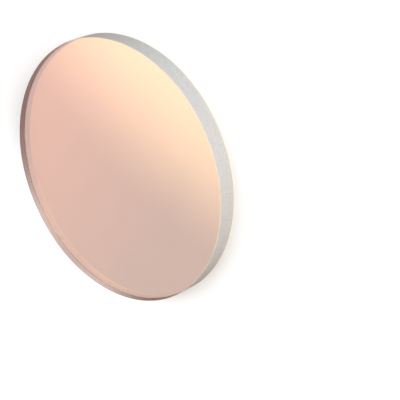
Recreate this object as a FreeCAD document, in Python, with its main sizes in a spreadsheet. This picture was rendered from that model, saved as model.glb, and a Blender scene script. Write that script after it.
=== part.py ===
import FreeCAD, Part
import os
import Sketcher

# Spherical mirror: a ground and polished glass disc with one shallow concave face. Lengths
# are in millimetres. The concave face is the one that carries the reflecting coating. It
# looks down, and its edge is the ring on which the disc lies. The flat face looks up, and the
# coating shows through it. The origin is the centre of that ring and +Z is the optical axis.

NODE = "mirror_disc"

# How a sketch numbers the points of a curve, and its own origin
START, END, CENTRE = range(1, 4)
ORIGIN = -1

# Two heights closer than this, in millimetres, are the same
LEVEL_TOLERANCE = 1e-4

# Driving dimensions: alias, value, what it is
DIMENSIONS = (
    ("diameter", 50.0, "Outside diameter of the ground rim"),
    ("edge_thickness", 3.6, "Thickness at the rim, before the bevels"),
    ("face_radius", 2000.0, "Radius of curvature of the concave face, twice its focal length"),
    ("coated_bevel", 0.1, "Leg of the protective bevel round the concave coated face"),
    ("flat_bevel", 0.1, "Leg of the protective bevel round the flat face"),
)


def make_sheet(doc):
    """The spreadsheet that holds every driving dimension, one alias to a row."""
    sheet = doc.addObject("Spreadsheet::Sheet", "Dimensions")
    for row, (alias, value, meaning) in enumerate(DIMENSIONS, start=1):
        sheet.set(f"A{row}", meaning)
        sheet.set(f"B{row}", str(value))
        sheet.setAlias(f"B{row}", alias)
    doc.recompute()
    return sheet


def origin_plane(body, role):
    """One of the body's own origin planes, such as XY_Plane."""
    return next(item for item in body.Origin.OriginFeatures if item.Role == role)


def add_sketch(body, name, role):
    """An empty sketch on one of the body's origin planes."""
    sketch = body.newObject("Sketcher::SketchObject", name)
    sketch.AttachmentSupport = (origin_plane(body, role), [""])
    sketch.MapMode = "FlatFace"
    return sketch


def name_constraint(sketch, constraint, name, formula):
    """Adds a dimension to a sketch, names it and ties it to the spreadsheet."""
    index = sketch.addConstraint(constraint)
    sketch.renameConstraint(index, name)
    sketch.setExpression(f"Constraints.{name}", formula)


def pad_blank(body, sheet):
    """The round blank, cut and edged to its diameter, with two flat faces."""
    outline = add_sketch(body, "BlankOutline", "XY_Plane")
    rim = Part.Circle(FreeCAD.Vector(0, 0, 0), FreeCAD.Vector(0, 0, 1), sheet.diameter / 2)
    circle = outline.addGeometry(rim)
    outline.addConstraint(Sketcher.Constraint("Coincident", circle, CENTRE, ORIGIN, START))
    name_constraint(
        outline,
        Sketcher.Constraint("Diameter", circle, sheet.diameter),
        "BlankDiameter",
        "Dimensions.diameter",
    )
    blank = body.newObject("PartDesign::Pad", "Blank")
    blank.Profile = outline
    blank.setExpression("Length", "Dimensions.edge_thickness")
    return blank


def rim_edge(feature, height):
    """Name of the feature's round edge that lies at this height."""
    for index, edge in enumerate(feature.Shape.Edges, start=1):
        box = edge.BoundBox
        level = max(abs(box.ZMin - height), abs(box.ZMax - height)) < LEVEL_TOLERANCE
        if level and isinstance(edge.Curve, Part.Circle):
            return f"Edge{index}"
    raise RuntimeError(f"no round edge at height {height} on {feature.Name}")


def bevel_edge(body, name, base, height, alias):
    """A 45 degree bevel on one rim edge, which keeps the glass from chipping."""
    bevel = body.newObject("PartDesign::Chamfer", name)
    bevel.Base = (base, [rim_edge(base, height)])
    bevel.setExpression("Size", f"Dimensions.{alias}")
    return bevel


def draw_face_section(body, sheet):
    """Half section of the hollow: flat below, the face's arc above, closed on the axis.

    The arc has its centre on the axis, far below the disc. It runs from the inner edge of
    the coated face's bevel, at the height of the origin, up to the deepest point of the
    hollow.
    """
    reach = sheet.diameter / 2 - sheet.coated_bevel
    drop = (sheet.face_radius**2 - reach**2) ** 0.5
    origin = FreeCAD.Vector(0, 0, 0)
    corner = FreeCAD.Vector(reach, 0, 0)
    deepest = FreeCAD.Vector(0, sheet.face_radius - drop, 0)

    section = add_sketch(body, "FaceSection", "XZ_Plane")
    circle = Part.Circle(FreeCAD.Vector(0, -drop, 0), FreeCAD.Vector(0, 0, 1), sheet.face_radius)
    span = (circle.parameter(corner), circle.parameter(deepest))
    base = section.addGeometry(Part.LineSegment(origin, corner))
    arc = section.addGeometry(Part.ArcOfCircle(circle, *span))
    axis = section.addGeometry(Part.LineSegment(deepest, origin))
    for constraint in (
        Sketcher.Constraint("Coincident", base, START, ORIGIN, START),
        Sketcher.Constraint("Coincident", base, END, arc, START),
        Sketcher.Constraint("Coincident", arc, END, axis, START),
        Sketcher.Constraint("Coincident", axis, END, base, START),
        Sketcher.Constraint("Horizontal", base),
        Sketcher.Constraint("Vertical", axis),
        Sketcher.Constraint("PointOnObject", arc, CENTRE, axis),
    ):
        section.addConstraint(constraint)
    name_constraint(
        section,
        Sketcher.Constraint("Radius", arc, sheet.face_radius),
        "FaceRadius",
        "Dimensions.face_radius",
    )
    name_constraint(
        section,
        Sketcher.Constraint("DistanceX", base, START, base, END, reach),
        "FaceReach",
        "Dimensions.diameter / 2 - Dimensions.coated_bevel",
    )
    return section


def grind_face(body, sheet):
    """The concave face: a spherical cap, deepest on the axis and gone at its bevel."""
    section = draw_face_section(body, sheet)
    hollow = body.newObject("PartDesign::Groove", "ConcaveFace")
    hollow.Profile = section
    hollow.ReferenceAxis = (section, ["V_Axis"])
    hollow.Angle = 360
    return hollow


def make_mirror(doc, sheet):
    """The whole mirror as one body, in the order in which it is made."""
    body = doc.addObject("PartDesign::Body", NODE)
    body.Label = NODE
    blank = pad_blank(body, sheet)
    doc.recompute()
    lower = bevel_edge(body, "CoatedBevel", blank, 0.0, "coated_bevel")
    doc.recompute()
    upper = bevel_edge(body, "FlatBevel", lower, sheet.edge_thickness, "flat_bevel")
    doc.recompute()
    hollow = grind_face(body, sheet)
    doc.recompute()
    if hollow.Shape.Volume >= upper.Shape.Volume:
        raise RuntimeError("the concave face removed nothing")
    return body


def check(doc, bodies):
    """Stops before anything is written if a feature failed or a solid is faulty."""
    for item in doc.Objects:
        if "Invalid" in item.State or "Error" in item.State:
            raise RuntimeError(f"{item.Name} failed: {item.State}")
    for body in bodies:
        shape = body.Shape
        if shape.isNull() or not shape.isValid() or len(shape.Solids) != 1:
            raise RuntimeError(f"{body.Label} is not one valid solid")


def main():
    doc = FreeCAD.newDocument("SphericalMirror")
    sheet = make_sheet(doc)
    bodies = [make_mirror(doc, sheet)]
    check(doc, bodies)
    os.makedirs("parts", exist_ok=True)
    for body in bodies:
        body.Shape.exportStep(f"parts/{body.Label}.step")
        box = body.Shape.optimalBoundingBox()
        print(
            f"{body.Label}: {box.XLength:.3f} x {box.YLength:.3f} x {box.ZLength:.3f} mm,"
            f" {body.Shape.Volume:.1f} mm3, {len(body.Shape.Faces)} faces"
        )


main()
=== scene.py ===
import math
import bpy
import numpy as np
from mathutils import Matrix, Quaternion, Vector


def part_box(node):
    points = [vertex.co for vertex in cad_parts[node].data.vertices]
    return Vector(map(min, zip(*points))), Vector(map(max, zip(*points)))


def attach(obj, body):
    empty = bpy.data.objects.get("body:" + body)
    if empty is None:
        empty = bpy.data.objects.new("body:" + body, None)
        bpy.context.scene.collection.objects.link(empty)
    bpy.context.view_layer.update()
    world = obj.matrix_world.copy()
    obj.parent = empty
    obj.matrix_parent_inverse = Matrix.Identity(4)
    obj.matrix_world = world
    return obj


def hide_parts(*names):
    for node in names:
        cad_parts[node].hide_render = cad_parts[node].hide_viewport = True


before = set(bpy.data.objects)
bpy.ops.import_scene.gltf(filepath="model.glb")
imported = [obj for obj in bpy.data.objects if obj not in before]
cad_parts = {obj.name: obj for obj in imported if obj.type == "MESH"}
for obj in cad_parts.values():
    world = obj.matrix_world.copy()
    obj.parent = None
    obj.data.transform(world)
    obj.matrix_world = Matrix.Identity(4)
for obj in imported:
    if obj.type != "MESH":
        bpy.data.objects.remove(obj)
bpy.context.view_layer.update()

mm = 0.001            # one millimetre in metres


def linearColour(hexText):
    # sRGB hex to linear light: each channel over 255, then the sRGB curve undone
    channels = [int(hexText[i:i + 2], 16) / 255 for i in (1, 3, 5)]
    linear = [c / 12.92 if c <= 0.04045 else ((c + 0.055) / 1.055) ** 2.4 for c in channels]
    return (*linear, 1.0)


def addNode(tree, kind, settings=None, values=None, links=None):
    # one node: settings are its own options, values fill its sockets, links feed its sockets
    node = tree.nodes.new(kind)
    for name, value in (settings or {}).items():
        setattr(node, name, value)
    for socket, value in (values or {}).items():
        node.inputs[socket].default_value = value
    for socket, source in (links or {}).items():
        tree.links.new(source, node.inputs[socket])
    return node


def skyDirection(azimuth, elevation):
    # unit vector: azimuth turns from +X towards +Y, elevation rises from the floor, in degrees
    turn = math.radians(azimuth)
    rise = math.radians(elevation)
    return Vector((math.cos(turn) * math.cos(rise), math.sin(turn) * math.cos(rise), math.sin(rise)))


print("Stage 1: camera")

cameraValues = {
    "azimuth": 30.74,       # degrees round the disc's axis, from +X
    "distance": 257.1,      # mm from the middle of the flat face
    "height": 171.6,        # mm above the flat face
    "aim": (20.32, 0.19),   # mm, the point of the flat face in the middle of the picture
    "roll": -115.38,        # degrees, the photo's disc leans over to the left
    "focalPixels": 1411.7,  # focal length in pixels of the picture
    "pictureWidth": 400,    # pixels
    "sensorWidth": 36.0,    # mm
    "clipStart": 1.0,       # mm, nothing nearer than this shows
}


def makeCamera(values, faceHeight):
    # stands at reach = sqrt(distance^2 - height^2) from the disc's axis, looks at the aim point on
    # the flat face, and is then rolled about its own line of sight
    reach = math.sqrt(values["distance"] ** 2 - values["height"] ** 2)
    turn = math.radians(values["azimuth"])
    place = Vector((reach * math.cos(turn), reach * math.sin(turn), values["height"])) * mm
    place.z += faceHeight
    aim = Vector((values["aim"][0] * mm, values["aim"][1] * mm, faceHeight))
    data = bpy.data.cameras.new("photoCamera")
    data.sensor_width = values["sensorWidth"]
    data.lens = values["focalPixels"] * values["sensorWidth"] / values["pictureWidth"]
    data.clip_start = values["clipStart"] * mm
    camera = bpy.data.objects.new("photoCamera", data)
    level = (aim - place).to_track_quat("-Z", "Y")
    roll = Quaternion((0, 0, 1), math.radians(values["roll"]))
    camera.rotation_mode = "QUATERNION"
    camera.rotation_quaternion = level @ roll
    camera.location = place
    bpy.context.scene.collection.objects.link(camera)
    bpy.context.scene.camera = camera


lowest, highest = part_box("mirror_disc")
makeCamera(cameraValues, highest[2])


print("Stage 2: mirror disc")

discValues = {
    "bevel": 0.1,          # mm, leg of the hair-thin bevel round each face
    "faceRadius": 2000.0,  # mm, radius of curvature of the concave coated face
    "turns": 720,          # columns of the grid, round the axis
    "faceRows": 24,        # rows of the grid from the axis to the edge of a face
    "rimRows": 6,          # rows of the grid down the ground rim
    "sharpAngle": 20.0,    # degrees, an edge that turns more than this is shaded sharp
}

# the disc's finishes, in the order of its materials
polished, edged, ground, coatedBevel, coated = range(5)


def discProfile(values, radius, thickness):
    # from the axis over the flat face, down the rim and back along the coated face: height is
    # the thickness, then it falls straight through bevel, rim and bevel, then it is the sphere's
    # sagitta, sqrt(R^2 - r^2) less its value at the edge
    leg = values["bevel"] * mm
    ball = values["faceRadius"] * mm
    edge = radius - leg
    outwards = np.linspace(0.0, edge, values["faceRows"] + 1)
    down = np.linspace(thickness - leg, leg, values["rimRows"] + 1)
    inwards = outwards[::-1]
    sagitta = np.sqrt(ball ** 2 - inwards ** 2) - math.sqrt(ball ** 2 - edge ** 2)
    r = np.concatenate([outwards, np.full_like(down, radius), inwards])
    z = np.concatenate([np.full_like(outwards, thickness), down, sagitta])
    rows = [values["faceRows"], 1, values["rimRows"], 1, values["faceRows"]]
    return r, z, np.repeat([polished, edged, ground, coatedBevel, coated], rows)


def revolve(name, r, z, bands, turns, sharpAngle, materials):
    # surface of revolution: x = r(s) cos(a), y = r(s) sin(a), z = z(s), closed at its two poles;
    # bands gives the material of each strip between two neighbouring points of the profile
    angle = np.linspace(0.0, 2 * np.pi, turns, endpoint=False)
    ring = np.stack([
        np.outer(r[1:-1], np.cos(angle)),
        np.outer(r[1:-1], np.sin(angle)),
        np.outer(z[1:-1], np.ones(turns)),
    ], axis=-1).reshape(-1, 3)
    points = np.vstack([ring, [[0.0, 0.0, z[0]]], [[0.0, 0.0, z[-1]]]])
    rows = len(r) - 2
    top = rows * turns
    here = np.arange(turns)
    after = (here + 1) % turns
    above = (np.arange(rows - 1)[:, None] * turns + here).ravel()
    aboveNext = (np.arange(rows - 1)[:, None] * turns + after).ravel()
    quads = np.stack([above, above + turns, aboveNext + turns, aboveNext], axis=-1)
    last = (rows - 1) * turns
    topFan = np.stack([here, after, np.full(turns, top)], axis=-1)
    bottomFan = np.stack([last + after, last + here, np.full(turns, top + 1)], axis=-1)
    faces = quads.tolist() + topFan.tolist() + bottomFan.tolist()
    mesh = bpy.data.meshes.new(name)
    mesh.from_pydata(points.tolist(), [], faces)
    bandOfFace = np.concatenate([
        np.repeat(bands[1:-1], turns),
        np.full(turns, bands[0]),
        np.full(turns, bands[-1]),
    ])
    for material in materials:
        mesh.materials.append(material)
    mesh.polygons.foreach_set("material_index", bandOfFace.astype(np.int32))
    mesh.polygons.foreach_set("use_smooth", np.ones(len(faces), dtype=bool))
    mesh.set_sharp_from_angle(angle=math.radians(sharpAngle))
    mesh.update()
    piece = bpy.data.objects.new(name, mesh)
    bpy.context.scene.collection.objects.link(piece)
    return piece


glassValues = {
    "index": 1.85,                           # refractive index of dense flint glass
    "tint": ("#ffffff", "#fbfdfc"),          # clear glass, with next to no colour of its own
    "polishRoughness": (0.0, 0.02),          # where the polish is best and where it is poorest
    "polishSize": 5.0,                       # mm, width of the polisher's soft patches
    "coatPasses": ("#f8d9d6", "#f4d5d2"),    # the light that the coating lets through
    "coatReflects": ("#f7ca7c", "#f5c87c"),  # the light that it sends back
    "coatShare": 0.42,                       # share of the light that is sent back, the rest passes
    "coatSize": 9.0,                         # mm, width of the coating's thicker and thinner patches
    "bevelGold": "#f8d08a",                  # what the coating on the ground lower bevel sends back
    "bevelPassesPaintedGold": "#d8b890",                # what it lets through, a painted gold that stands for the coating's golden reflection
    "bevelRoughness": 0.7,                   # its roughness from outside
    "bevelSheen": 0.3,                       # its roughness from inside the glass
}

groundFinishes = {
    # the colours from outside, pale where the grit broke the surface most and darker between the pits,
    # and the same two for the light that comes through to an eye inside the glass, warmed with a painted
    # tint
    "rim": {
        "outside": ("#b4b4b3", "#d1d1cf"),
        # painted shade and painted light: darker and warmer than the rim from outside, for the dim wall
        # inside the glass lit through the coating
        "inside": ("#b0948a", "#bea499"),
    },
    "flat face's bevel": {
        # painted reflection: these pale gold colours, outside and inside, stand for the coating's golden
        # reflection along the edge; ground clear glass is grey-white
        "outside": ("#cbc0ad", "#d9cfbd"),
        "inside": ("#d8bfa4", "#e4cdb4"),
    },
    "gritSize": 0.25,              # mm, coarser than the real 0.03 mm so that it shows
    "gritDepth": 0.03,             # mm
    "gritStrength": 0.3,           # how much of that depth the light sees
    "gritDetail": 3.0,             # how many finer layers lie in the grit and in the lines
    "lineSize": (3.0, 3.0, 0.15),  # mm, the grinding wheel's lines run round the rim
    "lineShare": 0.3,              # how much of the marks are lines
    "softness": 0.18,              # marks this far below and above the mean have the two full colours
    "roughness": 0.6,              # of the matt surface, from outside
    "gloss": 0.05,                 # specular level, low because a matt surface scatters its gloss
}

# where a Mix node has its two colours and its mixed colour
firstColour, secondColour, mixedResult = 6, 7, 2

meanNoise = 0.5  # noise runs from 0 to 1 about this value


def startMaterial(name):
    # an empty procedural material and its node tree
    material = bpy.data.materials.new(name)
    material.use_nodes = True
    material.node_tree.nodes.clear()
    return material, material.node_tree


def mixedColour(tree, factor, pair):
    # a colour that runs from the first of the pair to the second as the factor rises
    colour = addNode(tree, "ShaderNodeMix", settings={"data_type": "RGBA"}, values={
        firstColour: linearColour(pair[0]),
        secondColour: linearColour(pair[1]),
    }, links={"Factor": factor})
    return colour.outputs[mixedResult]


def noiseOn(tree, size, detail=2.0, roughness=0.6):
    # soft noise from 0 to 1 that lies still on the piece; size is the width of its patches in mm,
    # one number or one for each axis
    place = addNode(tree, "ShaderNodeTexCoord").outputs["Object"]
    scale = [1 / (width * mm) for width in np.broadcast_to(size, 3)]
    scaled = addNode(tree, "ShaderNodeMapping", values={"Scale": scale}, links={"Vector": place})
    noise = addNode(tree, "ShaderNodeTexNoise", values={
        "Scale": 1.0,
        "Detail": detail,
        "Roughness": roughness,
    }, links={"Vector": scaled.outputs["Vector"]})
    return noise.outputs["Fac"]


def polishedGlass(values):
    # dense flint glass, ground and polished: a clear surface that bends what lies behind it,
    # with the faint unevenness that a pitch polisher leaves
    material, tree = startMaterial("polished dense flint glass")
    polish = noiseOn(tree, values["polishSize"])
    best, poorest = values["polishRoughness"]
    roughness = addNode(tree, "ShaderNodeMapRange", values={
        "To Min": best,
        "To Max": poorest,
    }, links={"Value": polish})
    shader = addNode(tree, "ShaderNodeBsdfPrincipled", values={
        "IOR": values["index"],
        "Transmission Weight": 1.0,
    }, links={
        "Base Color": mixedColour(tree, polish, values["tint"]),
        "Roughness": roughness.outputs["Result"],
    })
    addNode(tree, "ShaderNodeOutputMaterial", links={"Surface": shader.outputs[0]})
    return material


def groundGlass(part, values, index):
    # the same glass, ground with fine grit and left matt: from outside pale with a fine grain, and from
    # inside it lets through the light that falls on it, in darker and warmer colours that are a painted
    # tint and painted shade
    material, tree = startMaterial(f"fine-ground dense flint glass, {part}")
    marks = addNode(tree, "ShaderNodeMix", values={
        "Factor": values["lineShare"],
    }, links={
        "A": noiseOn(tree, values["gritSize"], values["gritDetail"]),
        "B": noiseOn(tree, values["lineSize"], values["gritDetail"]),
    }).outputs["Result"]
    bump = addNode(tree, "ShaderNodeBump", values={
        "Strength": values["gritStrength"],
        "Distance": values["gritDepth"] * mm,
    }, links={"Height": marks})
    shade = addNode(tree, "ShaderNodeMapRange", values={
        "From Min": meanNoise - values["softness"],
        "From Max": meanNoise + values["softness"],
    }, links={"Value": marks}).outputs["Result"]
    outside = addNode(tree, "ShaderNodeBsdfPrincipled", values={
        "Roughness": values["roughness"],
        "IOR": index,
        "Specular IOR Level": values["gloss"],
    }, links={
        "Base Color": mixedColour(tree, shade, values[part]["outside"]),
        "Normal": bump.outputs["Normal"],
    })
    # painted light and shade: the inside colours put the coating's warm light and the wall's shade on the
    # ground surface
    inside = addNode(tree, "ShaderNodeBsdfTranslucent", links={
        "Color": mixedColour(tree, shade, values[part]["inside"]),
    })
    both = addNode(tree, "ShaderNodeMixShader", links={
        0: addNode(tree, "ShaderNodeNewGeometry").outputs["Backfacing"],
        1: outside.outputs[0],
        2: inside.outputs[0],
    })
    addNode(tree, "ShaderNodeOutputMaterial", links={"Surface": both.outputs[0]})
    return material


def coatedGlass(values):
    # a thin evaporated metal coating on the polished concave face: part of the light passes,
    # part comes back, both of it warmer than it went in and a little uneven with the coating's depth
    material, tree = startMaterial("evaporated peach coating on glass")
    depth = noiseOn(tree, values["coatSize"])
    passes = addNode(tree, "ShaderNodeBsdfRefraction", values={
        "Roughness": 0.0,
        "IOR": values["index"],
    }, links={"Color": mixedColour(tree, depth, values["coatPasses"])})
    reflects = addNode(tree, "ShaderNodeBsdfGlossy", values={
        "Roughness": 0.0,
    }, links={"Color": mixedColour(tree, depth, values["coatReflects"])})
    shader = addNode(tree, "ShaderNodeMixShader", values={0: values["coatShare"]}, links={
        1: passes.outputs[0],
        2: reflects.outputs[0],
    })
    addNode(tree, "ShaderNodeOutputMaterial", links={"Surface": shader.outputs[0]})
    return material


def coatedBevelGlass(values):
    # the same coating where it lies on the ground lower bevel: matt gold from outside, and from
    # inside a golden line, of the light that it sends back and of what it lets through, the latter a
    # painted gold
    material, tree = startMaterial("evaporated coating on ground glass")
    outside = addNode(tree, "ShaderNodeBsdfPrincipled", values={
        "Base Color": linearColour(values["bevelGold"]),
        "Metallic": 1.0,
        "Roughness": values["bevelRoughness"],
    })
    # painted reflection: the light let through is coloured gold like the coating's reflection, not like
    # its pink passing light
    lets = addNode(tree, "ShaderNodeBsdfTranslucent", values={
        "Color": linearColour(values["bevelPassesPaintedGold"]),
    })
    sends = addNode(tree, "ShaderNodeBsdfGlossy", values={
        "Color": linearColour(values["bevelGold"]),
        "Roughness": values["bevelSheen"],
    })
    inside = addNode(tree, "ShaderNodeAddShader", links={0: lets.outputs[0], 1: sends.outputs[0]})
    both = addNode(tree, "ShaderNodeMixShader", links={
        0: addNode(tree, "ShaderNodeNewGeometry").outputs["Backfacing"],
        1: outside.outputs[0],
        2: inside.outputs[0],
    })
    addNode(tree, "ShaderNodeOutputMaterial", links={"Surface": both.outputs[0]})
    return material


radius = (highest[0] - lowest[0]) / 2
thickness = highest[2] - lowest[2]
r, z, bands = discProfile(discValues, radius, thickness)
materials = [
    polishedGlass(glassValues),
    groundGlass("flat face's bevel", groundFinishes, glassValues["index"]),
    groundGlass("rim", groundFinishes, glassValues["index"]),
    coatedBevelGlass(glassValues),
    coatedGlass(glassValues),
]
mirrorDisc = revolve(
    "mirrorDisc", r, z + lowest[2], bands, discValues["turns"], discValues["sharpAngle"], materials,
)
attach(mirrorDisc, "root")
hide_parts("mirror_disc")


print("Stage 3: studio")

studioValues = {
    "floorSide": 4000.0,       # mm
    "floorColour": "#6e6e6e",  # for the light that bounces off it on to the disc
    "floorSeen": "#f6f6f6",    # for the camera
    "floorLift": 0.06,         # added for the camera, so that the open floor is white
    "skyGrey": 0.05,           # radiance of the plain studio round the object
}

lightPatches = {
    # place is azimuth and elevation in degrees, reach is where the patch is full and where it is
    # gone, in degrees from its middle
    "overhead softbox": {
        "place": (136.9, 69.6), "reach": (37.7, 46.4), "colour": "#ffffff", "strength": 1.457,
        "edge": "SMOOTHSTEP",
    },
    "rose wall": {
        "place": (185.5, 25.0), "reach": (13.0, 31.1), "colour": "#ff9993", "strength": 0.759,
        "edge": "LINEAR",
    },
    "grey wall": {
        "place": (210.0, 43.0), "reach": (14.0, 34.0), "colour": "#ffffff", "strength": 0.32,
        "edge": "SMOOTHSTEP",
    },
    "key lamp": {
        "place": (28.0, 15.0), "reach": (5.0, 30.0), "colour": "#ffffff", "strength": 12.4,
        "edge": "SMOOTHSTEP",
    },
    "warm lamp": {
        "place": (-35.0, 15.0), "reach": (5.0, 30.0), "colour": "#ffb85a", "strength": 1.8,
        "edge": "SMOOTHSTEP",
    },
}

backLamps = {
    "azimuths": (217.0, 258.0),  # degrees, where each lamp stands behind the disc
    "distance": 40.0,            # mm from the disc's axis
    "height": 5.0,               # mm above the floor
    "size": 3.0,                 # mm, radius of the lamp
    "colour": "#e9f6ff",         # daylight
    "power": 0.0128,             # watts
}


def makeFloor(values, height):
    # a square plane: pale for the camera and with the disc's shadow on it, darker where its light
    # bounces on to the disc, and plain white where glass and gloss show it
    side = values["floorSide"] * mm / 2
    mesh = bpy.data.meshes.new("studioFloor")
    corners = [(x, y, height) for x, y in ((-side, -side), (side, -side), (side, side), (-side, side))]
    mesh.from_pydata(corners, [], [(0, 1, 2, 3)])
    floor = bpy.data.objects.new("studioFloor", mesh)
    bpy.context.scene.collection.objects.link(floor)
    material, tree = startMaterial("white studio floor")
    ray = addNode(tree, "ShaderNodeLightPath")
    toCamera = ray.outputs["Is Camera Ray"]
    matt = addNode(tree, "ShaderNodeBsdfDiffuse", links={
        "Color": mixedColour(tree, toCamera, (values["floorColour"], values["floorSeen"])),
    })
    amount = addNode(tree, "ShaderNodeMath", settings={"operation": "MULTIPLY"}, values={
        1: values["floorLift"],
    }, links={0: toCamera})
    lift = addNode(tree, "ShaderNodeEmission", links={"Strength": amount.outputs[0]})
    lifted = addNode(tree, "ShaderNodeAddShader", links={0: matt.outputs[0], 1: lift.outputs[0]})
    either = addNode(tree, "ShaderNodeMath", settings={"operation": "MAXIMUM"}, links={
        0: ray.outputs["Is Glossy Ray"],
        1: ray.outputs["Is Transmission Ray"],
    })
    throughGlass = addNode(tree, "ShaderNodeMath", settings={
        "operation": "SUBTRACT",
        "use_clamp": True,
    }, links={
        0: either.outputs[0],
        1: ray.outputs["Is Diffuse Ray"],
    })
    plainWhite = addNode(tree, "ShaderNodeEmission", values={"Strength": 1.0})
    both = addNode(tree, "ShaderNodeMixShader", links={
        0: throughGlass.outputs[0],
        1: lifted.outputs[0],
        2: plainWhite.outputs[0],
    })
    addNode(tree, "ShaderNodeOutputMaterial", links={"Surface": both.outputs[0]})
    mesh.materials.append(material)


def addPatch(tree, direction, values):
    # light on the studio's wall: radiance falls from full to none between the two angles of reach
    towards = addNode(tree, "ShaderNodeVectorMath", settings={"operation": "DOT_PRODUCT"}, values={
        1: skyDirection(*values["place"]),
    }, links={0: direction})
    angle = addNode(tree, "ShaderNodeMath", settings={"operation": "ARCCOSINE"}, links={
        0: towards.outputs["Value"],
    })
    full, gone = values["reach"]
    amount = addNode(tree, "ShaderNodeMapRange", settings={"interpolation_type": values["edge"]}, values={
        "From Min": math.radians(gone),
        "From Max": math.radians(full),
        "To Min": 0.0,
        "To Max": values["strength"],
    }, links={"Value": angle.outputs[0]})
    patch = addNode(tree, "ShaderNodeVectorMath", settings={"operation": "SCALE"}, values={
        0: linearColour(values["colour"])[:3],
    }, links={"Scale": amount.outputs["Result"]})
    return patch.outputs["Vector"]


def makeStudio(values, patches):
    # radiance of a direction = the plain grey + the sum of the patches, and white for the camera
    world = bpy.data.worlds.new("photo studio")
    bpy.context.scene.world = world
    world.use_nodes = True
    tree = world.node_tree
    tree.nodes.clear()
    direction = addNode(tree, "ShaderNodeTexCoord").outputs["Generated"]
    total = addNode(tree, "ShaderNodeCombineXYZ", values={
        axis: values["skyGrey"] for axis in "XYZ"
    }).outputs["Vector"]
    for patch in patches.values():
        total = addNode(tree, "ShaderNodeVectorMath", settings={"operation": "ADD"}, links={
            0: total,
            1: addPatch(tree, direction, patch),
        }).outputs["Vector"]
    studio = addNode(tree, "ShaderNodeBackground", links={"Color": total})
    white = addNode(tree, "ShaderNodeBackground", values={"Color": (1, 1, 1, 1), "Strength": 1.0})
    ray = addNode(tree, "ShaderNodeLightPath")
    both = addNode(tree, "ShaderNodeMixShader", links={
        0: ray.outputs["Is Camera Ray"],
        1: studio.outputs[0],
        2: white.outputs[0],
    })
    addNode(tree, "ShaderNodeOutputWorld", links={"Surface": both.outputs[0]})


def makeBackLamps(values, floorHeight):
    # small soft lamps close behind the disc, which shine through its ground rim
    for index, azimuth in enumerate(values["azimuths"]):
        data = bpy.data.lights.new(f"backLamp{index}", "POINT")
        data.energy = values["power"]
        data.color = linearColour(values["colour"])[:3]
        data.shadow_soft_size = values["size"] * mm
        lamp = bpy.data.objects.new(data.name, data)
        lamp.location = skyDirection(azimuth, 0.0) * values["distance"] * mm
        lamp.location.z = floorHeight + values["height"] * mm
        lamp.visible_camera = False
        lamp.visible_glossy = False
        lamp.visible_transmission = False
        bpy.context.scene.collection.objects.link(lamp)


makeFloor(studioValues, lowest[2])
makeBackLamps(backLamps, lowest[2])
makeStudio(studioValues, lightPatches)
bpy.context.scene.view_settings.view_transform = "Standard"
